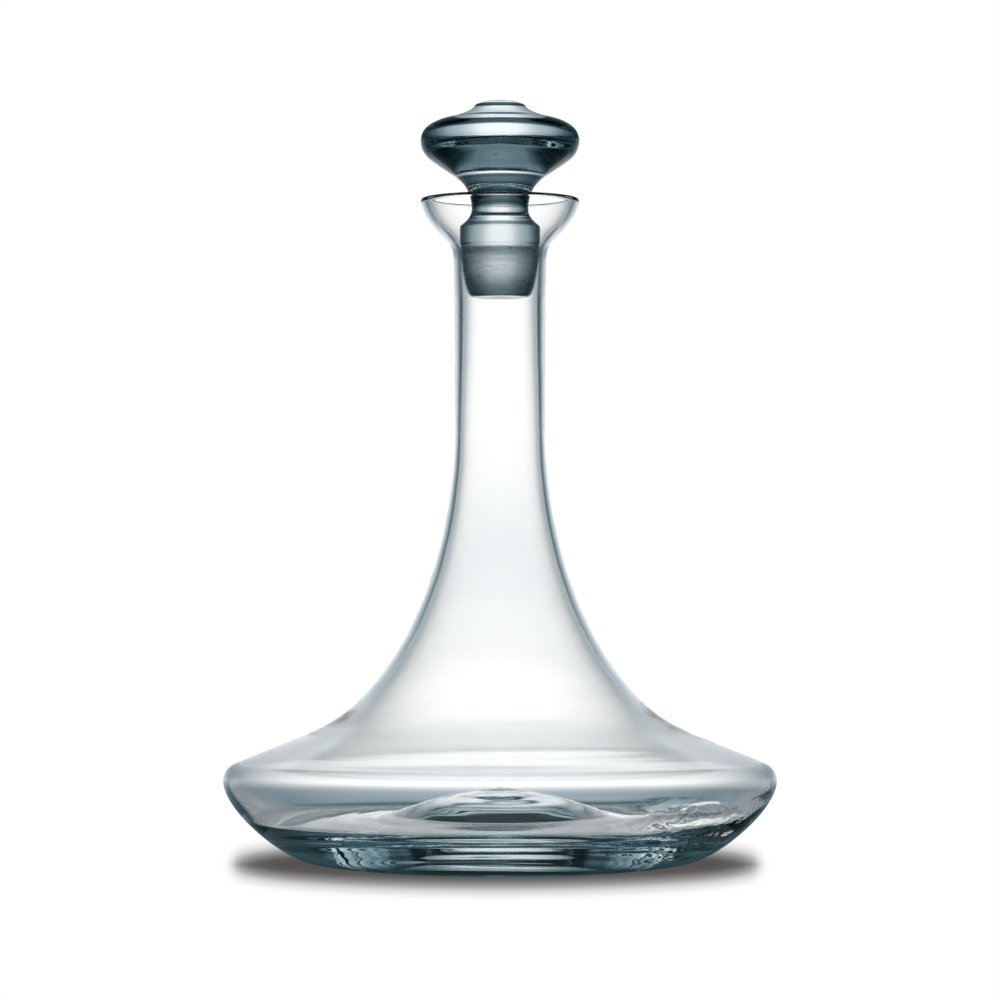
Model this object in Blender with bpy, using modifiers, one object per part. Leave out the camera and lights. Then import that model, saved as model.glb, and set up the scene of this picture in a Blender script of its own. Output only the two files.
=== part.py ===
"""Wine decanter: a wide-bowled blown glass body and the solid glass stopper that stands in its neck.

Metres, +Z up. The origin is the centre of the foot, on the plane that the decanter stands on, and
the Z axis is the axis of both turned pieces. The stopper is modelled in its seated place, and its
object's origin is on the Z axis at the level of its seat, so that it lifts out along +Z.
"""

import math

import bpy

MM = 0.001

# How finely the two pieces are turned.
SEGMENTS = 56
CURVE_STEPS = 5
ARC_STEPS = 6
AXIS_MERGE = 0.00001

# Body, outside: radii and heights.
RIM_HEIGHT = 250.6 * MM
RIM_BEAD_RADIUS = 1.3 * MM
RIM_RADIUS = 29.8 * MM
NECK_TOP_RADIUS = 17.3 * MM
NECK_RADIUS = 16.72 * MM
NECK_TOP = 227.0 * MM
NECK_FOOT = 162.0 * MM
BEND_RADIUS = 53.66 * MM
BEND = 61.99 * MM
SHOULDER_TOP_RADIUS = 80.1 * MM
SHOULDER_TOP = 47.21 * MM
SHOULDER_EDGE_RADIUS = 98.3 * MM
SHOULDER_EDGE = 39.75 * MM
BOWL_RADIUS = 103.05 * MM
BOWL_WIDEST = 33.2 * MM
BOWL_FOOT_RADIUS = 71.4 * MM
BOWL_FOOT = 2.95 * MM

# Body, inside. The wall is measured square to the outside, at these heights.
WALL_AT = (
    (46.0 * MM, 1.6 * MM),
    (52.0 * MM, 1.65 * MM),
    (58.0 * MM, 1.95 * MM),
    (67.0 * MM, 2.17 * MM),
    (90.0 * MM, 2.4 * MM),
    (115.0 * MM, 2.33 * MM),
    (162.0 * MM, 1.8 * MM),
    (213.0 * MM, 3.0 * MM),
    (227.0 * MM, 2.6 * MM),
    (233.0 * MM, 3.0 * MM),
    (239.0 * MM, 2.5 * MM),
    (250.0 * MM, 2.6 * MM),
)
INNER_SHOULDER_RADIUS = 96.78 * MM
INNER_SHOULDER = 38.59 * MM
INNER_RADIUS = 100.58 * MM
INNER_WIDEST = 33.11 * MM
INNER_FOOT_RADIUS = 92.64 * MM
INNER_FOOT = 19.15 * MM
FLOOR_RADIUS = 80.0 * MM
FLOOR = 15.4 * MM
DOME_RADIUS = 40.7 * MM
DOME_FOOT = 18.5 * MM
DOME_TOP = 31.5 * MM

# Body, underside: a flat ring to stand on, round a hollow pushed up into the base.
RING_RADIUS = 48.0 * MM
HOLLOW_RADIUS = 44.0 * MM
HOLLOW_HEIGHT = 22.0 * MM

# Stopper, from the top down.
STOPPER_TOP = 287.2 * MM
BUTTON_RADIUS = 9.3 * MM
BUTTON_EDGE = 285.6 * MM
COLLAR_RADIUS = 17.3 * MM
COLLAR = 281.15 * MM
KNOB_RADIUS = 29.72 * MM
KNOB_WIDEST = 271.9 * MM
CONE_RADIUS = 21.9 * MM
CONE = 261.95 * MM
WAIST_RADIUS = 10.65 * MM
WAIST = 246.6 * MM
BAND_RADIUS = 15.0 * MM
BAND_TOP = 239.3 * MM
GROUND_TOP = 233.9 * MM
GROUND_STEP = 0.35 * MM
PLUG_FOOT_RADIUS = 12.3 * MM
PLUG_FOOT = 216.0 * MM
PLUG_CUP = 0.4 * MM


def curve(start, start_handle, end_handle, end, steps=CURVE_STEPS):
    """Points along a cubic Bezier curve, each a radius and a height."""
    points = []
    for i in range(steps + 1):
        t = i / steps
        weights = ((1 - t) ** 3, 3 * t * (1 - t) ** 2, 3 * t * t * (1 - t), t**3)
        controls = (start, start_handle, end_handle, end)
        points.append(tuple(sum(w * c[axis] for w, c in zip(weights, controls)) for axis in (0, 1)))
    return points


def arc(centre, radius, start_degrees, end_degrees, steps=ARC_STEPS):
    """Points along a circular arc, each a radius and a height."""
    points = []
    for i in range(steps + 1):
        angle = math.radians(start_degrees + (end_degrees - start_degrees) * i / steps)
        points.append((centre[0] + radius * math.cos(angle), centre[1] + radius * math.sin(angle)))
    return points


def cap(edge_radius, edge_height, rise, steps=CURVE_STEPS):
    """Points of a shallow dome from its edge in to its top, on the axis."""
    sphere = (edge_radius**2 + rise**2) / (2 * rise)
    half_angle = math.degrees(math.asin(edge_radius / sphere))
    centre = (0.0, edge_height + rise - sphere)
    return arc(centre, sphere, 90 - half_angle, 90, steps)


def joined(*pieces):
    """One outline from consecutive pieces, without the points that two neighbours share."""
    outline = []
    for piece in pieces:
        for point in piece:
            if not outline or math.dist(point, outline[-1]) > AXIS_MERGE:
                outline.append(point)
    return outline


def mm(radius, height):
    """A point given in millimetres."""
    return (radius * MM, height * MM)


def body_outside():
    """The body's outline from the side of the rim down to the foot of the bowl."""
    rim_side = (RIM_RADIUS, RIM_HEIGHT - RIM_BEAD_RADIUS)
    funnel = curve(rim_side, mm(28.6, 244.8), mm(25.2, 238.6), mm(19.0, 233.2))
    throat = curve(funnel[-1], mm(18.1, 232.3), mm(17.4, 231.2), (NECK_TOP_RADIUS, NECK_TOP), 3)
    neck = [throat[-1], mm(16.85, 197.5), (NECK_RADIUS, NECK_FOOT)]
    flare = curve(neck[-1], mm(17.04, 146.02), mm(20.68, 93.99), (BEND_RADIUS, BEND), 9)
    shoulder = (SHOULDER_TOP_RADIUS, SHOULDER_TOP)
    bend = curve(flare[-1], mm(60.94, 54.94), mm(67.45, 52.39), shoulder)
    edge_start = (SHOULDER_EDGE_RADIUS, SHOULDER_EDGE)
    widest = (BOWL_RADIUS, BOWL_WIDEST)
    edge = curve(edge_start, mm(101.0, 38.75), mm(103.05, 36.2), widest)
    foot = (BOWL_FOOT_RADIUS, BOWL_FOOT)
    bowl = curve(widest, mm(103.05, 22.85), mm(82.7, 5.4), foot, 8)
    return joined(funnel, throat, neck, flare, bend, edge, bowl)


def body_underside():
    """The outline from the foot of the bowl in to the standing ring and up into the hollow."""
    foot = (BOWL_FOOT_RADIUS, BOWL_FOOT)
    heel = curve(foot, mm(64.5, 1.45), mm(54.0, 0.35), (RING_RADIUS, 0.0), 3)
    return joined(heel, cap(HOLLOW_RADIUS, 0.0, HOLLOW_HEIGHT))


def wall_at(height):
    """The wall's thickness at a height of the outside."""
    below, above = WALL_AT[0], WALL_AT[-1]
    for lower, upper in zip(WALL_AT, WALL_AT[1:]):
        if lower[0] <= height <= upper[0]:
            below, above = lower, upper
    share = (height - below[0]) / (above[0] - below[0])
    return below[1] + (above[1] - below[1]) * share


def wall_inside():
    """The inner face of the wall, from the shoulder up to the rim."""
    outside = body_outside()
    inside = []
    for before, here, after in zip(outside, outside[1:], outside[2:]):
        if here[1] < WALL_AT[0][0]:
            break
        step = (after[0] - before[0], after[1] - before[1])
        length = math.hypot(*step)
        wall = wall_at(here[1])
        inside.append((here[0] + wall * step[1] / length, here[1] - wall * step[0] / length))
    return inside[::-1]


def body_inside():
    """The outline from the top of the floor's dome out to the wall and up over the rim."""
    dome = curve((0.0, DOME_TOP), mm(14.0, 31.2), mm(27.0, 23.5), (DOME_RADIUS, DOME_FOOT))
    inner_foot = (INNER_FOOT_RADIUS, INNER_FOOT)
    corner = curve((FLOOR_RADIUS, FLOOR), mm(86.0, 15.1), mm(90.4, 16.8), inner_foot, 4)
    widest = (INNER_RADIUS, INNER_WIDEST)
    bowl = curve(inner_foot, mm(96.57, 23.27), mm(100.58, 28.77), widest, 4)
    edge = curve(widest, mm(100.58, 35.59), mm(98.94, 37.71), (INNER_SHOULDER_RADIUS, INNER_SHOULDER))
    wall = wall_inside()
    bead = (RIM_RADIUS - RIM_BEAD_RADIUS, RIM_HEIGHT - RIM_BEAD_RADIUS)
    rim = arc(bead, RIM_BEAD_RADIUS, 180, 0)
    return joined(dome, corner, bowl, edge, wall, rim)


def stopper_outline():
    """The stopper's outline from its top down to the cupped end of the plug."""
    button = cap(BUTTON_RADIUS, BUTTON_EDGE, STOPPER_TOP - BUTTON_EDGE, 3)[::-1]
    collar = curve(button[-1], mm(9.8, 283.5), mm(15.4, 281.8), (COLLAR_RADIUS, COLLAR), 4)
    widest = (KNOB_RADIUS, KNOB_WIDEST)
    top = curve(collar[-1], mm(19.6, 280.4), mm(29.72, 279.5), widest, 7)
    bottom = curve(widest, mm(29.72, 266.8), mm(25.6, 264.5), (CONE_RADIUS, CONE))
    cone = curve(bottom[-1], mm(17.0, 258.7), mm(10.65, 256.0), (WAIST_RADIUS, WAIST), 7)
    swell = curve(cone[-1], mm(10.65, 243.5), mm(12.6, 241.7), mm(14.7, 239.9), 3)
    band = [(BAND_RADIUS, BAND_TOP), (BAND_RADIUS, GROUND_TOP)]
    ground_radius = BAND_RADIUS - GROUND_STEP
    plug_foot = (PLUG_FOOT_RADIUS, PLUG_FOOT)
    plug = curve((ground_radius, GROUND_TOP), mm(14.5, 227.3), mm(13.9, 221.0), plug_foot, 4)
    heel = curve(plug_foot, mm(11.8, 214.4), mm(11.2, 213.5), mm(9.6, 213.4), 3)
    cup = [(0.0, heel[-1][1] + PLUG_CUP)]
    return joined(button, collar, top, bottom, cone, swell, band, plug, heel, cup)


def glass(name, colour, roughness):
    """Clear glass in the tint and polish of one surface."""
    material = bpy.data.materials.new(name)
    material.use_nodes = True
    shader = material.node_tree.nodes["Principled BSDF"]
    shader.inputs["Base Color"].default_value = (*colour, 1.0)
    shader.inputs["Metallic"].default_value = 0.0
    shader.inputs["Roughness"].default_value = roughness
    shader.inputs["IOR"].default_value = 1.52
    shader.inputs["Transmission Weight"].default_value = 1.0
    return material


def turned(name, outline, origin_height, material, collection):
    """A solid of revolution about Z, from an outline of radii and heights in the part's frame."""
    mesh = bpy.data.meshes.new(name)
    vertices = [(radius, 0.0, height - origin_height) for radius, height in outline]
    edges = [(i, i + 1) for i in range(len(outline) - 1)]
    mesh.from_pydata(vertices, edges, [])
    mesh.materials.append(material)
    piece = bpy.data.objects.new(name, mesh)
    piece.location = (0.0, 0.0, origin_height)
    collection.objects.link(piece)
    screw = piece.modifiers.new("Turn", "SCREW")
    screw.axis = "Z"
    screw.angle = math.tau
    screw.steps = SEGMENTS
    screw.render_steps = SEGMENTS
    screw.use_merge_vertices = True
    screw.merge_threshold = AXIS_MERGE
    screw.use_smooth_shade = True
    return piece


def clear_scene():
    for leftover in list(bpy.data.objects):
        bpy.data.objects.remove(leftover, do_unlink=True)


def build():
    clear_scene()
    decanter = bpy.data.collections.new("wine_decanter")
    bpy.context.scene.collection.children.link(decanter)
    body_glass = glass("decanter_glass", (0.93, 0.97, 0.98), 0.0)
    stopper_glass = glass("stopper_glass", (0.90, 0.95, 0.96), 0.02)
    outline = joined(body_inside(), body_outside(), body_underside())
    body = turned("decanter_body", outline, 0.0, body_glass, decanter)
    stopper = turned("stopper", stopper_outline(), GROUND_TOP, stopper_glass, decanter)
    stopper.parent = body


build()
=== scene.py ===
import math

import bmesh
import bpy
import numpy as np
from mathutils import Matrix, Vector


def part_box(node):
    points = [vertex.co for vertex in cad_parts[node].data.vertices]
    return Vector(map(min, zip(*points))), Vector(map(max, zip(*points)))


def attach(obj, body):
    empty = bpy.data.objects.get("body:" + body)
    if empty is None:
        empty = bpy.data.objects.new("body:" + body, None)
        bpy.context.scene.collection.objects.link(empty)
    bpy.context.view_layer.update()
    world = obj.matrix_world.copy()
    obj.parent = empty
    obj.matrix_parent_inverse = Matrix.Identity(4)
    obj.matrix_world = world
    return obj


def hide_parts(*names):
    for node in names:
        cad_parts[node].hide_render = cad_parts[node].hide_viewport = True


MM = 0.001

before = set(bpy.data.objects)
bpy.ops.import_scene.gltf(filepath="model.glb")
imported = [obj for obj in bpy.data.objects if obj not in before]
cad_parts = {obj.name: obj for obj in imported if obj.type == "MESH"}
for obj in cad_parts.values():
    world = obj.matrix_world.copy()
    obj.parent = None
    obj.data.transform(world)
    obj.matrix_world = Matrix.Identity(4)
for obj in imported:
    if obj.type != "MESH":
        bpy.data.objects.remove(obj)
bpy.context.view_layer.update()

# The frame's boxes that the fine glass is fitted to.
BODY_LOW, BODY_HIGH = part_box("decanter_body")
STOPPER_LOW, STOPPER_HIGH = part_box("stopper")

# Nominal sizes of the outlines below, in millimetres.
BODY_RADIUS = 103.05
BODY_TOP = 250.6
STOPPER_RADIUS = 29.72
STOPPER_FOOT = 213.4
STOPPER_TOP = 287.2
RIM_MIDDLE = (28.5, 249.3)
RIM_RADIUS = 1.3
HOLLOW_RADIUS = 44.0
HOLLOW_HEIGHT = 22.0

# How far the outlines' corners are melted, in millimetres.
BODY_BLUR = 0.35
STOPPER_BLUR = 0.22

# The fineness of the turned glass: segments round the axis, the most that a step along the outline
# turns, and the steps' lengths in millimetres. Steps are shorter below the height RIPPLED_BELOW, and
# their length changes over STEP_BLEND.
BODY_SEGMENTS = 256
STOPPER_SEGMENTS = 192
MOST_TURN = math.radians(3.2)
FINE_STEP = 0.05
LEAST_STEP = 0.16
MOST_STEP = 3.0
RIPPLED_STEP = 1.25
RIPPLED_BELOW = 36.0
STEP_BLEND = 2.0

# Points of an outline that are closer than this are one point.
SAME_POINT = 1e-6

# Thickness of the wall above the shoulder, square to the outside, by height, in millimetres. It is
# the mean of WALL_BLEND_POINTS heights, up to WALL_BLEND above and below.
WALL_HEIGHTS = (46, 49, 52, 55, 58, 62, 67, 75, 90, 115, 162, 213, 227, 233, 239, 250)
WALLS = (1.59, 1.65, 1.64, 1.79, 1.94, 2.1, 2.17, 2.27, 2.41, 2.33, 1.8, 3.0, 2.6, 3.0, 2.5, 2.6)
WALL_BLEND = 3.0
WALL_BLEND_POINTS = 13

# Glass: its refractive index, and the blue-green that it takes on where it is thick.
GLASS_IOR = 1.52
GLASS_TINT = (0.55, 0.8, 0.84)
GLASS_DENSITY = 8.0

# Camera, in metres: level with the flare, so that it looks down on the bowl and up under the rim. The
# view is VIEW_WIDTH wide at the axis, and its middle is at the height VIEW_MIDDLE. SENSOR is in
# millimetres.
CAMERA_DISTANCE = 1.64
CAMERA_HEIGHT = 0.0975
CAMERA_REACH = 100.0
SENSOR = 36.0
VIEW_WIDTH = 0.3735
VIEW_MIDDLE = 0.1377


# ---------------------------------------------------------------- outlines

# Each point is a distance from the axis and a height, in millimetres.

def bezier(start, start_handle, end_handle, end, count=240):
    t = np.linspace(0.0, 1.0, count)[:, None]
    a, b, c, d = (np.array(p, float) for p in (start, start_handle, end_handle, end))
    return a * (1 - t) ** 3 + 3 * b * t * (1 - t) ** 2 + 3 * c * t * t * (1 - t) + d * t**3


def straight(start, end, count=40):
    t = np.linspace(0.0, 1.0, count)[:, None]
    return np.array(start, float) * (1 - t) + np.array(end, float) * t


def arc(centre, radius, start_degrees, end_degrees, count=120):
    a = np.radians(np.linspace(start_degrees, end_degrees, count))
    return np.c_[centre[0] + radius * np.cos(a), centre[1] + radius * np.sin(a)]


def chained(*pieces):
    """One polyline from consecutive ones, without repeated points."""
    line = np.vstack(pieces)
    keep = np.r_[True, np.linalg.norm(np.diff(line, axis=0), axis=1) > SAME_POINT]
    return line[keep]


def tangents(line):
    """The direction at each point of a line, and the distance to it along the line."""
    steps = np.r_[0.0, np.cumsum(np.linalg.norm(np.diff(line, axis=0), axis=1))]
    t = np.gradient(line, steps, axis=0)
    return t / np.linalg.norm(t, axis=1)[:, None], steps


def upper_outside():
    """The outside from the side of the rim down to the shoulder."""
    return chained(
        # The funnel of the lip, and the throat.
        bezier((29.8, 249.3), (28.6, 244.8), (25.2, 238.6), (19.0, 233.2)),
        bezier((19.0, 233.2), (18.1, 232.3), (17.4, 231.2), (17.3, 227.0)),
        # The neck, and the flare down to the shoulder.
        straight((17.3, 227.0), (16.85, 197.5)),
        straight((16.85, 197.5), (16.72, 162.0)),
        bezier((16.72, 162.0), (17.04, 146.02), (20.68, 93.99), (53.66, 61.99)),
        bezier((53.66, 61.99), (60.94, 54.94), (67.45, 52.39), (80.1, 47.21)),
    )


def upper_inside():
    """The inside of the same stretch, from the shoulder up to the rim."""
    outside = upper_outside()
    along, _ = tangents(outside)
    shifts = np.linspace(-WALL_BLEND, WALL_BLEND, WALL_BLEND_POINTS)
    walls = [np.interp(outside[:, 1] + shift, WALL_HEIGHTS, WALLS) for shift in shifts]
    wall = np.mean(walls, axis=0)
    inward = np.c_[along[:, 1], -along[:, 0]]
    return (outside + inward * wall[:, None])[::-1]


def body_line():
    """The whole outline, from the top of the floor's dome over the rim to the top of the hollow."""
    inside = upper_inside()
    hollow_sphere = (HOLLOW_RADIUS**2 + HOLLOW_HEIGHT**2) / (2 * HOLLOW_HEIGHT)
    hollow_edge = math.degrees(math.asin(HOLLOW_RADIUS / hollow_sphere))
    return chained(
        # The floor: its dome, its slope and the turn into the wall.
        bezier((0.0, 31.5), (14.0, 31.2), (27.0, 23.5), (40.7, 18.5)),
        straight((40.7, 18.5), (80.0, 15.4)),
        bezier((80.0, 15.4), (86.0, 15.1), (90.4, 16.8), (92.64, 19.15)),
        # The inside of the bowl, up to the shoulder.
        bezier((92.64, 19.15), (96.57, 23.27), (101.0, 28.7), (101.0, 33.11)),
        bezier((101.0, 33.11), (101.0, 35.5), (99.3, 37.55), (97.3, 38.36)),
        straight((97.3, 38.36), inside[0]),
        # Up the inside, over the rim and down the outside.
        inside,
        arc(RIM_MIDDLE, RIM_RADIUS, 180, 0),
        upper_outside(),
        # The outside of the bowl, from the shoulder to the foot.
        straight((80.1, 47.21), (98.3, 39.75)),
        bezier((98.3, 39.75), (101.0, 38.75), (BODY_RADIUS, 36.2), (BODY_RADIUS, 33.2)),
        bezier((BODY_RADIUS, 33.2), (BODY_RADIUS, 22.85), (82.7, 5.4), (71.4, 2.95)),
        bezier((71.4, 2.95), (64.5, 1.45), (54.0, 0.35), (48.0, 0.0)),
        # The flat ring of the foot, and the hollow inside it.
        straight((48.0, 0.0), (HOLLOW_RADIUS, 0.0)),
        arc((0.0, HOLLOW_HEIGHT - hollow_sphere), hollow_sphere, 90 - hollow_edge, 90),
    )


def stopper_line():
    """The stopper's outline, from its top down to the cupped end of the plug."""
    return chained(
        # The button and the knob.
        bezier((0.0, STOPPER_TOP), (4.0, STOPPER_TOP), (7.6, 286.5), (9.3, 285.6)),
        bezier((9.3, 285.6), (9.8, 283.5), (15.4, 281.8), (17.3, 281.15)),
        bezier((17.3, 281.15), (19.6, 280.4), (STOPPER_RADIUS, 279.5), (STOPPER_RADIUS, 271.9)),
        bezier((STOPPER_RADIUS, 271.9), (STOPPER_RADIUS, 266.8), (25.6, 264.5), (21.9, 261.95)),
        # The waist and the band.
        bezier((21.9, 261.95), (17.0, 258.7), (10.65, 256.0), (10.65, 246.6)),
        bezier((10.65, 246.6), (10.65, 243.5), (12.6, 241.7), (14.7, 239.9)),
        straight((14.7, 239.9), (15.0, 239.3)),
        straight((15.0, 239.3), (15.0, 233.9)),
        # The plug, and its cupped end.
        straight((15.0, 233.9), (14.65, 233.9)),
        bezier((14.65, 233.9), (14.5, 227.3), (13.9, 221.0), (12.3, 216.0)),
        bezier((12.3, 216.0), (11.8, 214.4), (11.2, 213.5), (9.6, STOPPER_FOOT)),
        straight((9.6, STOPPER_FOOT), (0.0, 213.8)),
    )


def softened(line, blur):
    """The line in fine even steps, with its corners melted by a blur of that many millimetres.

    The line is mirrored past the axis first, so that it stays smooth where it meets the axis.
    """
    _, steps = tangents(line)
    count = int(steps[-1] / FINE_STEP)
    even = np.linspace(0.0, steps[-1], count)
    fine = np.c_[np.interp(even, steps, line[:, 0]), np.interp(even, steps, line[:, 1])]
    reach = int(4 * blur / FINE_STEP)
    mirror = np.array([-1.0, 1.0])
    padded = np.vstack([fine[reach:0:-1] * mirror, fine, fine[-2 : -reach - 2 : -1] * mirror])
    offsets = np.arange(-reach, reach + 1) * FINE_STEP
    kernel = np.exp(-0.5 * (offsets / blur) ** 2)
    kernel /= kernel.sum()
    soft = np.stack([np.convolve(padded[:, axis], kernel, "valid") for axis in (0, 1)], axis=1)
    soft[0, 0] = soft[-1, 0] = 0.0
    return soft


def stations(line):
    """Points along a fine line, closer together where it turns more, with their distances along it."""
    along, steps = tangents(line)
    heading = np.unwrap(np.arctan2(along[:, 1], along[:, 0]))
    turning = np.abs(np.gradient(heading, steps))
    most_step = np.where(line[:, 1] < RIPPLED_BELOW, RIPPLED_STEP, MOST_STEP)
    density = np.clip(turning / MOST_TURN, 1 / most_step, 1 / LEAST_STEP)
    width = int(STEP_BLEND / FINE_STEP)
    kernel = np.hanning(2 * width + 1)
    kernel /= kernel.sum()
    density = np.convolve(np.pad(density, width, mode="edge"), kernel, "valid")
    total = np.r_[0.0, np.cumsum((density[1:] + density[:-1]) / 2 * np.diff(steps))]
    picks = np.linspace(0.0, total[-1], int(total[-1]) + 2)
    where = np.interp(picks, total, steps)
    points = np.c_[np.interp(where, steps, line[:, 0]), np.interp(where, steps, line[:, 1])]
    return points, where


# ---------------------------------------------------------------- turned glass

# Where the thick side of the bowl has its ridges, as an angle round the axis from +X, and the point
# on top of the floor's dome: its height and how far it reaches, in millimetres.
RIDGES_AT = math.radians(-36.0)
PEAK_HEIGHT = 1.0
PEAK_REACH = 5.0


def placed(name, mesh, height):
    """A new object in the scene, at that height on the axis."""
    piece = bpy.data.objects.new(name, mesh)
    piece.location.z = height
    bpy.context.scene.collection.objects.link(piece)
    return piece


def turned(name, line, segments, unevenness, radius_scale, height_scale, nominal_low, low):
    """A closed body of revolution, moved off its outline along the normal by unevenness().

    The outline's millimetres become metres by the two scales, and its nominal_low comes to low.
    """
    points, along = stations(line)
    angles = np.arange(segments) * math.tau / segments
    tangent = np.gradient(points, along, axis=0)
    tangent /= np.linalg.norm(tangent, axis=1)[:, None]
    outward = np.c_[-tangent[:, 1], tangent[:, 0]]
    lift = unevenness(points, along, angles)
    radius = (points[:, 0][:, None] + outward[:, 0][:, None] * lift) * radius_scale
    height = points[:, 1][:, None] + outward[:, 1][:, None] * lift
    height = (height - nominal_low) * height_scale + low
    radius[0] = radius[-1] = 0.0
    grid = np.stack([radius * np.cos(angles), radius * np.sin(angles), height], axis=-1)

    by_step = np.gradient(grid, along * MM, axis=0)
    by_angle = (np.roll(grid, -1, axis=1) - np.roll(grid, 1, axis=1)) / 2
    normals = np.cross(by_step, by_angle)
    normals[0] = (0.0, 0.0, 1.0)
    normals[-1] = (0.0, 0.0, -1.0)
    normals /= np.linalg.norm(normals, axis=2)[:, :, None]

    rows = len(points)
    inner = grid[1:-1].reshape(-1, 3)
    vertices = np.vstack([grid[0, :1], inner, grid[-1, :1]])
    vertex_normals = np.vstack([normals[0, :1], normals[1:-1].reshape(-1, 3), normals[-1, :1]])
    index = 1 + np.arange((rows - 2) * segments).reshape(rows - 2, segments)
    following = np.roll(index, -1, axis=1)
    quads = np.stack([index[:-1], index[1:], following[1:], following[:-1]], axis=-1).reshape(-1, 4)
    last = len(vertices) - 1
    faces = quads.tolist()
    faces += [(0, int(a), int(b)) for a, b in zip(index[0], following[0])]
    faces += [(last, int(b), int(a)) for a, b in zip(index[-1], following[-1])]

    mesh = bpy.data.meshes.new(name)
    mesh.from_pydata(vertices.tolist(), [], faces)
    mesh.shade_smooth()
    mesh.normals_split_custom_set_from_vertices(vertex_normals.tolist())
    return placed(name, mesh, 0.0)


def window(value, low, high, softness):
    """One between low and high, and nothing outside them, with soft ends."""
    rising = 1 / (1 + np.exp(-(value - low) / softness))
    return rising / (1 + np.exp((value - high) / softness))


def waves(along, angles, seed, depth, lengths, swirl, count=14):
    """A random sum of waves, mostly along the outline and slowly round the axis.

    They are about depth high and lengths long, both in millimetres, and each goes round the axis
    up to swirl times.
    """
    chance = np.random.default_rng(seed)
    total = np.zeros((len(along), len(angles)))
    for _ in range(count):
        phase = math.tau * along / chance.uniform(*lengths) + chance.uniform(0, math.tau)
        total += np.cos(phase[:, None] + chance.integers(-swirl, swirl + 1) * angles[None, :])
    return depth * (total / math.sqrt(count / 2))


def body_unevenness(points, along, angles):
    """How far blown glass leaves its outline.

    There are faint waves in the wall, the floor and the underside, ridges in the thick side of the
    bowl, and a point on the floor's dome.
    """
    radius, height = points[:, 0], points[:, 1]
    inside = (along < along[np.argmax(height)]).astype(float)

    wall = window(height, low=42.0, high=205.0, softness=3.0)
    wall_waves = waves(along, angles, seed=3, depth=0.008, lengths=(11.0, 34.0), swirl=2)
    base = (1 - inside) * window(height, low=-9.0, high=24.0, softness=1.0)
    base = base * window(radius, low=4.0, high=62.0, softness=2.0)
    base_waves = waves(along, angles, seed=5, depth=0.04, lengths=(5.5, 13.0), swirl=3)
    floor = inside * window(height, low=0.0, high=24.0, softness=2.0)
    floor = floor * window(radius, low=46.0, high=90.0, softness=3.0)
    floor_waves = waves(along, angles, seed=7, depth=0.035, lengths=(8.0, 16.0), swirl=3)
    lift = wall[:, None] * wall_waves + base[:, None] * base_waves + floor[:, None] * floor_waves

    turn = np.degrees(np.angle(np.exp(1j * (angles - RIDGES_AT))))
    ridged = inside * window(radius, low=74.0, high=99.5, softness=2.0)
    ridged = ridged * window(height, low=0.0, high=30.0, softness=1.5)
    ridged = ridged[:, None] * window(turn, low=-24.0, high=24.0, softness=4.0)[None, :]
    ridges = waves(along, angles, seed=11, depth=0.2, lengths=(6.0, 10.0), swirl=12, count=10)

    peak = PEAK_HEIGHT * np.exp(-radius / PEAK_REACH) * inside
    peak = peak * window(height, low=20.0, high=40.0, softness=1.0)
    return lift + ridged * ridges + peak[:, None]


def stopper_unevenness(points, along, angles):
    """How far the stopper leaves its outline: faint rings of the lathe on the knob and the waist."""
    lathed = window(points[:, 1], low=243.0, high=283.0, softness=2.0)
    return lathed[:, None] * waves(along, angles, seed=13, depth=0.02, lengths=(4.0, 11.0), swirl=2)


# ---------------------------------------------------------------- node helpers

def node_math(tree, operation, first, second=None, third=None):
    """One operation on numbers or sockets."""
    node = tree.nodes.new("ShaderNodeMath")
    node.operation = operation
    for socket, value in zip(node.inputs, (first, second, third)):
        if isinstance(value, (int, float)):
            socket.default_value = value
        elif value is not None:
            tree.links.new(value, socket)
    return node.outputs[0]


def node_ramp(tree, stops, factor):
    """The colour at the factor's place, blended evenly between the stops."""
    node = tree.nodes.new("ShaderNodeValToRGB")
    elements = node.color_ramp.elements
    for element, (position, colour) in zip(elements[:], stops):
        element.position = position
        element.color = (*colour, 1.0)
    for position, colour in stops[len(elements):]:
        elements.new(position).color = (*colour, 1.0)
    tree.links.new(factor, node.inputs["Fac"])
    return node.outputs["Color"]


def node_mix(tree, blend, factor, first, second):
    """The second colour laid over the first, as strongly as the factor says."""
    node = tree.nodes.new("ShaderNodeMix")
    node.data_type = "RGBA"
    node.blend_type = blend
    sockets = (node.inputs[0], node.inputs[6], node.inputs[7])
    for socket, value in zip(sockets, (factor, first, second)):
        if isinstance(value, bpy.types.NodeSocket):
            tree.links.new(value, socket)
        else:
            socket.default_value = value
    return node.outputs[2]


def node_noise(tree, vector, detail, distortion=0.0, w=None):
    """Soft noise about one unit long, in four dimensions where w is given."""
    noise = tree.nodes.new("ShaderNodeTexNoise")
    noise.inputs["Scale"].default_value = 1.0
    noise.inputs["Detail"].default_value = detail
    noise.inputs["Distortion"].default_value = distortion
    tree.links.new(vector, noise.inputs["Vector"])
    if w is not None:
        noise.noise_dimensions = "4D"
        tree.links.new(w, noise.inputs["W"])
    return noise.outputs["Fac"]


def node_dot(tree, first, second):
    """The dot product of two vectors that are given by their parts."""
    x, y, z = (node_math(tree, "MULTIPLY", a, b) for a, b in zip(first, second))
    return node_math(tree, "ADD", node_math(tree, "ADD", x, y), z)


def clamped(tree, value):
    """The value, kept between zero and one."""
    return node_math(tree, "MINIMUM", node_math(tree, "MAXIMUM", value, 0.0), 1.0)


def between(tree, value, low, high, softness):
    """One between low and high, and nothing outside them, with ends as long as the softness."""
    rising = node_math(tree, "MULTIPLY_ADD", value, 1 / softness, -low / softness)
    falling = node_math(tree, "MULTIPLY_ADD", value, -1 / softness, high / softness)
    return clamped(tree, node_math(tree, "MINIMUM", rising, falling))


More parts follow.
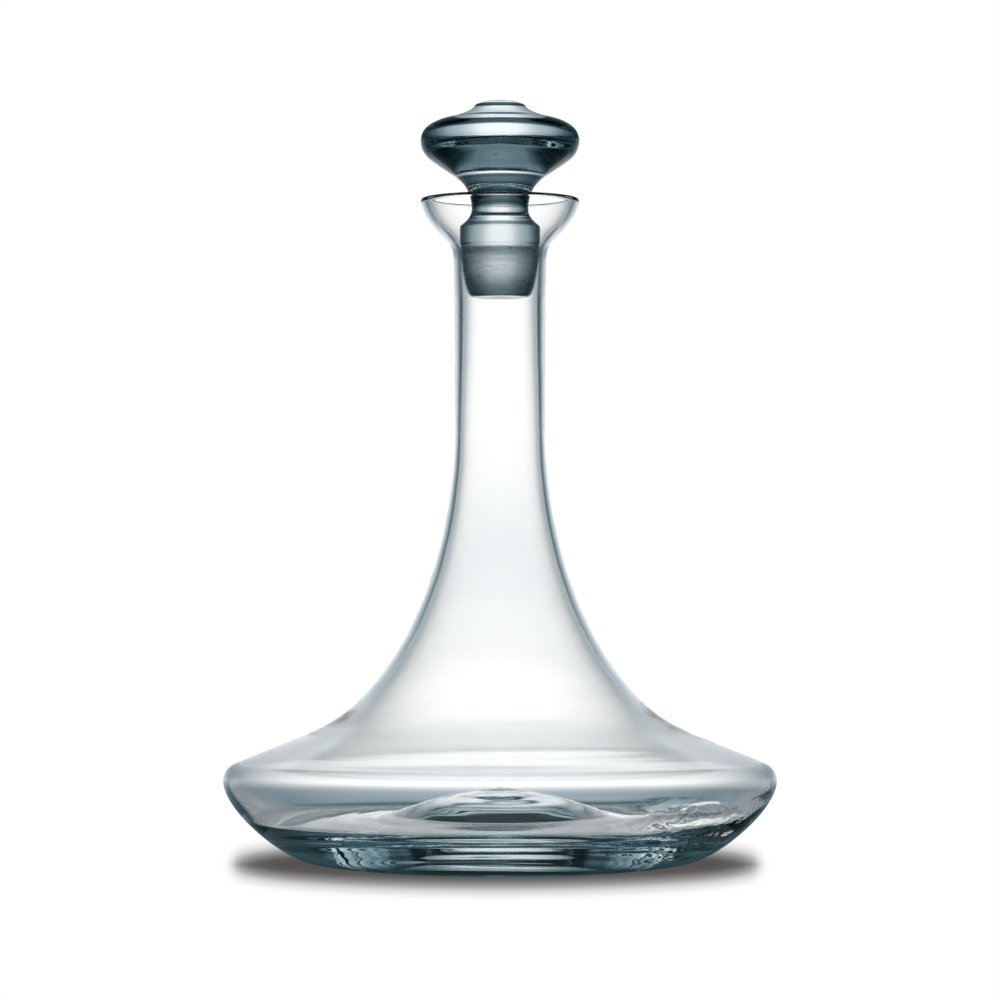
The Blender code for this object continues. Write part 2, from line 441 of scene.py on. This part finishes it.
def own_place(tree):
    """The three parts of the place on the piece, in metres."""
    place = tree.nodes.new("ShaderNodeTexCoord")
    parts = tree.nodes.new("ShaderNodeSeparateXYZ")
    tree.links.new(place.outputs["Object"], parts.inputs[0])
    return parts.outputs


def round_place(tree):
    """Distance from the axis and height, in millimetres."""
    x, y, z = own_place(tree)
    squares = [node_math(tree, "MULTIPLY", part, part) for part in (x, y)]
    radius = node_math(tree, "SQRT", node_math(tree, "ADD", *squares))
    radius = node_math(tree, "DIVIDE", radius, MM)
    return radius, node_math(tree, "DIVIDE", z, MM)


def linear(value):
    """A 0 to 255 display value as linear light."""
    value /= 255.0
    return value / 12.92 if value <= 0.04045 else ((value + 0.055) / 1.055) ** 2.4


# ---------------------------------------------------------------- glass

# How high the rings and ripples in the surfaces are, in metres.
WALL_RINGS = 0.022 * MM
BASE_STREAKS = 0.09 * MM
THICK_RIPPLES = 0.5 * MM
POLISH_RINGS = 0.03 * MM
PLUG_RINGS = 0.045 * MM
# The length of the crossed ripples along X, Y and Z, in millimetres.
RIPPLE_LENGTHS = (9.0, 16.0, 5.0)
# The roughness of ground glass: how much of the noise it takes, and the least it is.
BORE_ROUGHNESS = (0.16, 0.04)
PLUG_ROUGHNESS = (0.28, 0.12)


def glass(name, rings, ground):
    """Clear glass with fine rings in its surface, and rough where ground() says."""
    material = bpy.data.materials.new(name)
    material.use_nodes = True
    tree = material.node_tree
    shader = tree.nodes["Principled BSDF"]
    shader.inputs["Base Color"].default_value = (1.0, 1.0, 1.0, 1.0)
    shader.inputs["Transmission Weight"].default_value = 1.0
    shader.inputs["Metallic"].default_value = 0.0
    shader.inputs["IOR"].default_value = GLASS_IOR
    radius, height = round_place(tree)
    bump = tree.nodes.new("ShaderNodeBump")
    bump.inputs["Strength"].default_value = 1.0
    bump.inputs["Distance"].default_value = 1.0
    tree.links.new(rings(tree, radius, height), bump.inputs["Height"])
    tree.links.new(bump.outputs[0], shader.inputs["Normal"])
    tree.links.new(ground(tree, radius, height), shader.inputs["Roughness"])
    absorption = tree.nodes.new("ShaderNodeVolumeAbsorption")
    absorption.inputs["Color"].default_value = (*GLASS_TINT, 1.0)
    absorption.inputs["Density"].default_value = GLASS_DENSITY
    tree.links.new(absorption.outputs[0], tree.nodes["Material Output"].inputs["Volume"])
    return material


def ring_noise(tree, radius, height, length, sweep, detail):
    """Noise drawn out round the axis.

    It changes over length millimetres along the outline, and more times round the axis with more
    sweep.
    """
    x, y, _ = own_place(tree)
    place = tree.nodes.new("ShaderNodeCombineXYZ")
    for part, socket in zip((x, y), place.inputs):
        part = node_math(tree, "DIVIDE", part, node_math(tree, "MULTIPLY", radius, MM / sweep))
        tree.links.new(part, socket)
    tree.links.new(node_math(tree, "DIVIDE", radius, length), place.inputs[2])
    w = node_math(tree, "DIVIDE", height, length)
    return node_noise(tree, place.outputs[0], detail, w=w)


def body_rings(tree, radius, height):
    """Height of the body's surface, in metres: faint rings, and strong streaks in the thick base."""
    wall = ring_noise(tree, radius, height, length=6.0, sweep=0.8, detail=1.0)
    wall = node_math(tree, "MULTIPLY", wall, WALL_RINGS)
    base = ring_noise(tree, radius, height, length=7.0, sweep=0.8, detail=0.0)
    base = node_math(tree, "MULTIPLY", base, BASE_STREAKS)
    low_down = between(tree, height, low=-40.0, high=13.0, softness=5.0)
    base = node_math(tree, "MULTIPLY", base, low_down)
    thick = node_math(tree, "MULTIPLY", zigzag(tree, height), THICK_RIPPLES)
    return node_math(tree, "ADD", node_math(tree, "ADD", wall, base), thick)


def zigzag(tree, height):
    """Crossed ripples in the thick side of the bowl."""
    x, y, z = own_place(tree)
    place = tree.nodes.new("ShaderNodeCombineXYZ")
    for part, length, socket in zip((x, y, z), RIPPLE_LENGTHS, place.inputs):
        tree.links.new(node_math(tree, "DIVIDE", part, length * MM), socket)
    ripples = node_noise(tree, place.outputs[0], detail=0.6, distortion=0.9)
    x, y = (node_math(tree, "DIVIDE", part, MM) for part in (x, y))
    across = between(tree, x, low=46.0, high=97.0, softness=14.0)
    near = between(tree, y, low=-110.0, high=-4.0, softness=16.0)
    up = between(tree, height, low=-2.0, high=32.0, softness=7.0)
    patch = node_math(tree, "MULTIPLY", node_math(tree, "MULTIPLY", across, near), up)
    return node_math(tree, "MULTIPLY", ripples, patch)


def bore_ground(tree, radius, height):
    """A slight roughness of the throat that the plug stands in."""
    throat = between(tree, height, low=213.0, high=234.0, softness=1.2)
    bore = between(tree, radius, low=10.0, high=16.0, softness=0.4)
    grain = ring_noise(tree, radius, height, length=0.8, sweep=3.0, detail=3.0)
    grain = node_math(tree, "MULTIPLY_ADD", grain, *BORE_ROUGHNESS)
    return node_math(tree, "MULTIPLY", node_math(tree, "MULTIPLY", throat, bore), grain)


def stopper_rings(tree, radius, height):
    """Height of the stopper's surface, in metres: polishing rings, stronger on the plug."""
    polish = ring_noise(tree, radius, height, length=3.0, sweep=1.5, detail=3.0)
    polish = node_math(tree, "MULTIPLY", polish, POLISH_RINGS)
    marks = ring_noise(tree, radius, height, length=1.1, sweep=3.0, detail=3.0)
    marks = node_math(tree, "MULTIPLY", marks, PLUG_RINGS)
    plug = between(tree, height, low=200.0, high=243.0, softness=4.0)
    return node_math(tree, "ADD", polish, node_math(tree, "MULTIPLY", marks, plug))


def plug_ground(tree, radius, height):
    """The satin grind of the plug's side, uneven like a turned surface."""
    side = between(tree, height, low=214.0, high=234.0, softness=1.0)
    grain = ring_noise(tree, radius, height, length=1.4, sweep=4.0, detail=4.0)
    grain = node_math(tree, "MULTIPLY_ADD", grain, *PLUG_ROUGHNESS)
    return node_math(tree, "MULTIPLY", side, grain)


# ---------------------------------------------------------------- studio

# The tent of light round the glass: its radius in metres, and its brightness by the angle in degrees
# from the line of sight, sideways and up or down, where 255 is as white as the background.
TENT_RADIUS = 0.6
TENT_SEGMENTS = 96
SIDE_LIGHT = (
    (0, 280), (5, 278), (8, 271), (11, 257), (14, 234), (18, 212), (22, 197), (29, 174), (34, 145),
    (41, 108), (49, 81), (61, 48), (90, 44), (140, 44), (150, 80), (165, 90),
)
HEIGHT_LIGHT = (
    (-90, 130), (-62, 128), (-45, 112), (-38, 112), (-24, 96), (-17, 92), (-13, 110), (-8, 140),
    (-3, 162), (-2, 180), (-1.2, 202), (-0.65, 220), (0.2, 240), (0.6, 254), (1.5, 268),
    (2.5, 270), (4, 260), (6, 248), (10, 238), (15, 252), (20, 255), (28.5, 255), (31, 212),
    (33, 136), (36, 88), (40, 92), (46, 112), (52, 105), (60, 90), (75, 65), (90, 60),
)
# The painted shadow under the base, a dark sheet that only the glass sees: how far out it
# reaches, in metres, its brightness by the distance in millimetres from the axis, and how far
# below the foot it lies.
UNDER_BASE = 0.1
UNDER_DROP = 0.3 * MM
UNDER_LIGHT = ((0, 22), (30, 24), (38, 60), (46, 72), (60, 52), (80, 70), (96, 100))
# Steeply below, the sides of the tent become as bright as its middle: where that starts, and over
# how large an angle.
STEEP_FROM = math.radians(25)
STEEP_REACH = math.radians(20)
# Seen from above, the bright part of the tent reaches down to stay behind the glass, and the painted
# shadow under the base pales. MAIN_TILT and PALE_TILT are sines: of the main view's tilt, and of the
# tilt past it that pales the painted shadow fully.
MAIN_TILT = 0.08
TENT_FOLLOW = math.radians(60)
FOLLOW_BELOW = math.radians(22)
PALE_TABLE = 236
PALE_TILT = 0.22
# How much of red and of blue the grey of the studio keeps beside its green, by its lightness.
RED_SHARE = (
    (0, 0.42), (0.05, 0.46), (0.07, 0.56), (0.18, 0.71), (0.33, 0.79), (0.53, 0.88), (0.7, 0.94),
    (0.86, 0.98), (1, 1),
)
BLUE_SHARE = (
    (0, 1.13), (0.07, 1.13), (0.33, 1.13), (0.53, 1.09), (0.7, 1.05), (0.86, 1.015), (1, 1),
)
# The floor's half width in metres, and how far below the foot it lies.
FLOOR_SIZE = 30.0
FLOOR_DROP = 0.5 * MM


def studio_tone(value):
    """A grey of that display value, bluer as it darkens."""
    light = linear(value)
    red, blue = (np.interp(light, *zip(*share)) for share in (RED_SHARE, BLUE_SHARE))
    return (light * red, light, light * blue)


def to_camera(tree, vector, kind="VECTOR"):
    """How far a vector or a place goes across and up the picture, and away from the camera."""
    turn = tree.nodes.new("ShaderNodeVectorTransform")
    turn.vector_type = kind
    turn.convert_from, turn.convert_to = "WORLD", "CAMERA"
    if isinstance(vector, tuple):
        turn.inputs[0].default_value = vector
    else:
        tree.links.new(vector, turn.inputs[0])
    parts = tree.nodes.new("ShaderNodeSeparateXYZ")
    tree.links.new(turn.outputs[0], parts.inputs[0])
    return parts.outputs


def in_picture(tree, place):
    """Where a place shows across and up the picture, in metres from the middle of the foot."""
    middle = to_camera(tree, (0.0, 0.0, BODY_LOW.z), "POINT")
    seen = to_camera(tree, place, "POINT")
    nearness = node_math(tree, "DIVIDE", middle[2], seen[2])
    across = node_math(tree, "SUBTRACT", node_math(tree, "MULTIPLY", seen[0], nearness), middle[0])
    up = node_math(tree, "SUBTRACT", node_math(tree, "MULTIPLY", seen[1], nearness), middle[1])
    return across, up


def emission(name):
    """A material that only shines, with the socket for its colour."""
    material = bpy.data.materials.new(name)
    material.use_nodes = True
    tree = material.node_tree
    tree.nodes.clear()
    output = tree.nodes.new("ShaderNodeOutputMaterial")
    light = tree.nodes.new("ShaderNodeEmission")
    tree.links.new(light.outputs[0], output.inputs["Surface"])
    return material, tree, light.inputs["Color"]


def tilt_of_view(tree):
    """The sine of the angle at which the camera looks down on the middle of the foot."""
    middle = to_camera(tree, (0.0, 0.0, BODY_LOW.z), "POINT")
    upward = to_camera(tree, (0.0, 0.0, 1.0))
    distance = node_math(tree, "SQRT", node_dot(tree, middle, middle))
    tilt = node_math(tree, "DIVIDE", node_dot(tree, middle, upward), distance)
    return node_math(tree, "ABSOLUTE", tilt)


def looking_down(tree):
    """How much larger that sine is than in the main view."""
    past = node_math(tree, "SUBTRACT", tilt_of_view(tree), MAIN_TILT)
    return node_math(tree, "MAXIMUM", past, 0.0)


def build_world():
    """A plain white background."""
    world = bpy.data.worlds.new("studio")
    bpy.context.scene.world = world
    world.use_nodes = True
    world.node_tree.nodes["Background"].inputs["Color"].default_value = (1.0, 1.0, 1.0, 1.0)


def tent_material():
    """White behind the glass, falling off to dark beside, above and below the line of sight."""
    material, tree, colour = emission("light_tent")
    point = tree.nodes.new("ShaderNodeNewGeometry")
    x, y, z = to_camera(tree, point.outputs["Position"])
    rise = node_math(tree, "ARCSINE", node_math(tree, "DIVIDE", y, TENT_RADIUS))
    low = clamped(tree, node_math(tree, "MULTIPLY_ADD", rise, -1 / FOLLOW_BELOW, 1.0))
    follow = node_math(tree, "MULTIPLY", looking_down(tree), TENT_FOLLOW)
    rise = node_math(tree, "MULTIPLY_ADD", follow, low, rise)
    side = node_math(tree, "ABSOLUTE", node_math(tree, "ARCTAN2", x, z))
    side = node_math(tree, "DIVIDE", side, math.pi)
    steep = node_math(tree, "MULTIPLY_ADD", rise, -1 / STEEP_REACH, -STEEP_FROM / STEEP_REACH)
    side = node_math(tree, "MULTIPLY", side, node_math(tree, "SUBTRACT", 1.0, clamped(tree, steep)))
    across = node_ramp(tree, [(a / 180, studio_tone(v)) for a, v in SIDE_LIGHT], side)
    rise = node_math(tree, "MULTIPLY_ADD", rise, 1 / math.pi, 0.5)
    upright = node_ramp(tree, [(a / 180 + 0.5, studio_tone(v)) for a, v in HEIGHT_LIGHT], rise)
    tree.links.new(node_mix(tree, "MULTIPLY", 1.0, across, upright), colour)
    return material


def square(name, half_width, height):
    """A flat square about the axis, at that height."""
    corners = [(x * half_width, y * half_width, 0.0) for x, y in ((-1, -1), (1, -1), (1, 1), (-1, 1))]
    mesh = bpy.data.meshes.new(name)
    mesh.from_pydata(corners, [], [(0, 1, 2, 3)])
    return placed(name, mesh, height)


def build_tent():
    """The round tent of light that the glass sees and the camera doesn't."""
    mesh = bpy.data.meshes.new("light_tent")
    form = bmesh.new()
    bmesh.ops.create_uvsphere(
        form, u_segments=TENT_SEGMENTS, v_segments=TENT_SEGMENTS // 2, radius=TENT_RADIUS,
    )
    form.to_mesh(mesh)
    form.free()
    tent = placed("light_tent", mesh, 0.0)
    mesh.materials.append(tent_material())
    tent.visible_camera = tent.visible_shadow = False


def build_shade():
    """A painted shadow under the base: a dark sheet that only the glass sees, paler seen from above.
    """
    shade = square("shade", UNDER_BASE, BODY_LOW.z - UNDER_DROP)
    material, tree, colour = emission("shade")
    radius, _ = round_place(tree)
    across = node_math(tree, "DIVIDE", radius, UNDER_BASE / MM)
    stops = [(place * MM / UNDER_BASE, studio_tone(value)) for place, value in UNDER_LIGHT]
    dark = node_ramp(tree, stops, across)
    pale = (*studio_tone(PALE_TABLE), 1.0)
    share = node_math(tree, "DIVIDE", looking_down(tree), PALE_TILT)
    tree.links.new(node_mix(tree, "MIX", share, dark, pale), colour)
    shade.data.materials.append(material)
    shade.visible_camera = shade.visible_shadow = False


# The contact shadow, as the picture shows it: its middle, in metres across and up from the middle of
# the foot, and its half width beside the bowl's.
SHADOW_MIDDLE = (-0.0015, 0.0018)
SHADOW_WIDTH = 0.99
# Its darkness by the share of its half width, and by the distance in millimetres past its outline,
# which is a disc's, and deeper by SHADOW_SOFT.
SHADOW_ACROSS = (
    (0.8, 1.0), (0.854, 0.967), (0.871, 0.94), (0.89, 0.906), (0.908, 0.845), (0.926, 0.76),
    (0.945, 0.59), (0.963, 0.3), (0.982, 0.07), (1.0, 0.0),
)
SHADOW_EDGE = (
    (-8.6, 1.0), (-4.9, 0.985), (-3.5, 0.95), (-2.4, 0.823), (-1.3, 0.674), (0, 0.49),
    (0.9, 0.32), (2.1, 0.189), (3.2, 0.103), (4.3, 0.034), (5.6, 0.0),
)
SHADOW_SOFT = 2.4 * MM
# Its tones go from white down the greys to SHADOW_GREY, in SHADOW_STEPS steps, and are warmed on the
# way, so that they end at SHADOW_COLOUR.
SHADOW_GREY = 80
SHADOW_COLOUR = (0.088, 0.08, 0.08)
SHADOW_STEPS = 10


def floor_material():
    """White, with the soft shadow of the base, which keeps its shape from every side."""
    material, tree, colour = emission("pale_floor")
    point = tree.nodes.new("ShaderNodeNewGeometry")
    x, y = in_picture(tree, point.outputs["Position"])
    width = BODY_HIGH.x * SHADOW_WIDTH
    across = node_math(tree, "ABSOLUTE", node_math(tree, "SUBTRACT", x, SHADOW_MIDDLE[0]))
    across = node_math(tree, "DIVIDE", across, width)
    round_off = node_math(tree, "SUBTRACT", 1.0, node_math(tree, "MULTIPLY", across, across))
    round_off = node_math(tree, "SQRT", node_math(tree, "MAXIMUM", round_off, 0.0))
    depth = node_math(tree, "MULTIPLY_ADD", tilt_of_view(tree), width, SHADOW_SOFT)
    depth = node_math(tree, "MULTIPLY", depth, round_off)
    deep = node_math(tree, "ABSOLUTE", node_math(tree, "SUBTRACT", y, SHADOW_MIDDLE[1]))
    past = node_math(tree, "SUBTRACT", deep, depth)
    inmost = SHADOW_EDGE[0][0] * MM
    edge = SHADOW_EDGE[-1][0] * MM - inmost
    past = node_math(tree, "DIVIDE", node_math(tree, "SUBTRACT", past, inmost), edge)
    dark_across = node_ramp(tree, [(p, (v, v, v)) for p, v in SHADOW_ACROSS], across)
    stops = [((p * MM - inmost) / edge, (v, v, v)) for p, v in SHADOW_EDGE]
    dark = node_math(tree, "MULTIPLY", dark_across, node_ramp(tree, stops, past))
    tones = []
    for step in range(SHADOW_STEPS + 1):
        share = step / SHADOW_STEPS
        grey = linear(255 - (255 - SHADOW_GREY) * share)
        warmth = [(part - linear(SHADOW_GREY)) * share for part in SHADOW_COLOUR]
        tones.append((share, tuple(grey + part for part in warmth)))
    tree.links.new(node_ramp(tree, tones, dark), colour)
    return material


def build_floor():
    """A wide pale floor just under the foot, seen by the camera only."""
    floor = square("floor", FLOOR_SIZE, BODY_LOW.z - FLOOR_DROP)
    floor.data.materials.append(floor_material())
    floor.visible_diffuse = floor.visible_glossy = False
    floor.visible_transmission = floor.visible_shadow = False


def build_camera():
    """The photograph's view, from straight in front."""
    camera = bpy.data.cameras.new("camera")
    holder = bpy.data.objects.new("camera", camera)
    bpy.context.scene.collection.objects.link(holder)
    target = Vector((0.0, 0.0, BODY_LOW.z + VIEW_MIDDLE))
    holder.location = (0.0, -CAMERA_DISTANCE, BODY_LOW.z + CAMERA_HEIGHT)
    line_of_sight = target - holder.location
    holder.rotation_euler = line_of_sight.to_track_quat("-Z", "Y").to_euler()
    camera.sensor_width = SENSOR
    camera.lens = SENSOR * line_of_sight.length / VIEW_WIDTH
    camera.clip_end = CAMERA_REACH
    bpy.context.scene.camera = holder


def set_light_paths():
    """Lets light through every wall of the glass, and shows colours as they are."""
    scene = bpy.context.scene
    scene.view_settings.view_transform = "Standard"
    cycles = scene.cycles
    cycles.max_bounces = cycles.transmission_bounces = 32
    cycles.glossy_bounces = 16
    cycles.sample_clamp_indirect = 0
    cycles.blur_glossy = 0
    cycles.caustics_refractive = cycles.caustics_reflective = True


# ---------------------------------------------------------------- the decanter

body = turned(
    "body_glass", softened(body_line(), BODY_BLUR), BODY_SEGMENTS, body_unevenness,
    radius_scale=BODY_HIGH.x / BODY_RADIUS,
    height_scale=(BODY_HIGH.z - BODY_LOW.z) / BODY_TOP,
    nominal_low=0.0,
    low=BODY_LOW.z,
)
body.data.materials.append(glass("decanter_glass", body_rings, bore_ground))
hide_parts("decanter_body")
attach(body, "decanter")

stopper = turned(
    "stopper_glass", softened(stopper_line(), STOPPER_BLUR), STOPPER_SEGMENTS, stopper_unevenness,
    radius_scale=STOPPER_HIGH.x / STOPPER_RADIUS,
    height_scale=(STOPPER_HIGH.z - STOPPER_LOW.z) / (STOPPER_TOP - STOPPER_FOOT),
    nominal_low=STOPPER_FOOT,
    low=STOPPER_LOW.z,
)
stopper.data.materials.append(glass("stopper_glass", stopper_rings, plug_ground))
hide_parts("stopper")
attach(stopper, "stopper")

build_world()
build_tent()
build_shade()
build_floor()
build_camera()
set_light_paths()
